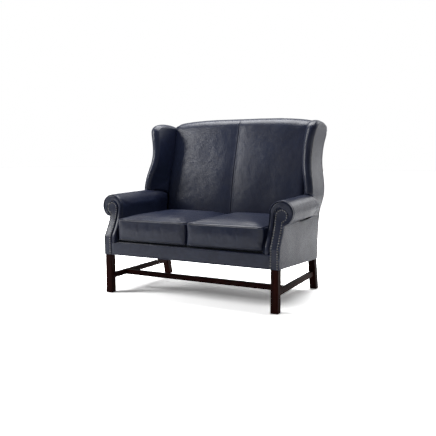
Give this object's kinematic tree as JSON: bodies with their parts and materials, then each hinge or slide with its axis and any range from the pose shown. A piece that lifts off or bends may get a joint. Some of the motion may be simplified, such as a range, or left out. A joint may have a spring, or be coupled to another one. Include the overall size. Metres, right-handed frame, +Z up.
{
  "type": "high back settee",
  "caption": "High back wing settee with scroll arms, a camel back, loose seat cushions, nailed trim and square legs joined by stretchers.",
  "frame": {"origin": "on the floor, under the middle of the settee's box", "axes": "+X to the right seen from the front, +Y to the rear, +Z up; the front faces -Y"},
  "size_m": [1.2398, 0.8144, 1.08],
  "materials": {
    "leather": "satin",
    "show_wood": "satin",
    "frame_timber": "matte",
    "nails": "satin",
    "webbing": "matte",
    "platform_cloth": "matte",
    "dust_cloth": "matte",
    "foam": "matte"
  },
  "bodies": {
    "frame": {"front_leg_left": "show_wood", "front_leg_right": "show_wood", "back_leg_left": "show_wood", "back_leg_right": "show_wood", "side_stretcher_left": "show_wood", "side_stretcher_right": "show_wood", "cross_stretcher": "show_wood", "front_rail": "frame_timber", "back_rail": "frame_timber", "side_rail_left": "frame_timber", "side_rail_right": "frame_timber", "seat_brace": "frame_timber", "corner_blocks": "frame_timber", "back_post_left": "frame_timber", "back_post_right": "frame_timber", "crest_rail": "frame_timber", "lower_back_rail": "frame_timber", "back_stile": "frame_timber", "wing_board_left": "frame_timber", "wing_board_right": "frame_timber", "arm_post_left": "frame_timber", "arm_post_right": "frame_timber", "arm_rail_left": "frame_timber", "arm_rail_right": "frame_timber", "seat_webbing_long": "webbing", "seat_webbing_cross": "webbing", "back_webbing": "webbing", "seat_platform": "platform_cloth", "front_border": "leather", "inside_back": "leather", "outside_back": "leather", "inside_wing_left": "leather", "inside_wing_right": "leather", "outside_wing_left": "leather", "outside_wing_right": "leather", "arm_pad_left": "leather", "arm_pad_right": "leather", "outside_arm_left": "leather", "outside_arm_right": "leather", "arm_facing_left": "leather", "arm_facing_right": "leather", "dust_cover": "dust_cloth", "piping": "leather", "arm_nails_left": "nails", "arm_nails_right": "nails", "wing_nails_left": "nails", "wing_nails_right": "nails"},
    "cushion_left": {"seat_cushion_left": "leather", "cushion_core_left": "foam"},
    "cushion_right": {"seat_cushion_right": "leather", "cushion_core_right": "foam"}
  },
  "joints": [
    {"name": "lift_left", "type": "slide", "parent": "frame", "child": "cushion_left", "axis": [0, 0, 1], "range_m": [0, 0.3]},
    {"name": "lift_right", "type": "slide", "parent": "frame", "child": "cushion_right", "axis": [0, 0, 1], "range_m": [0, 0.3]}
  ]
}
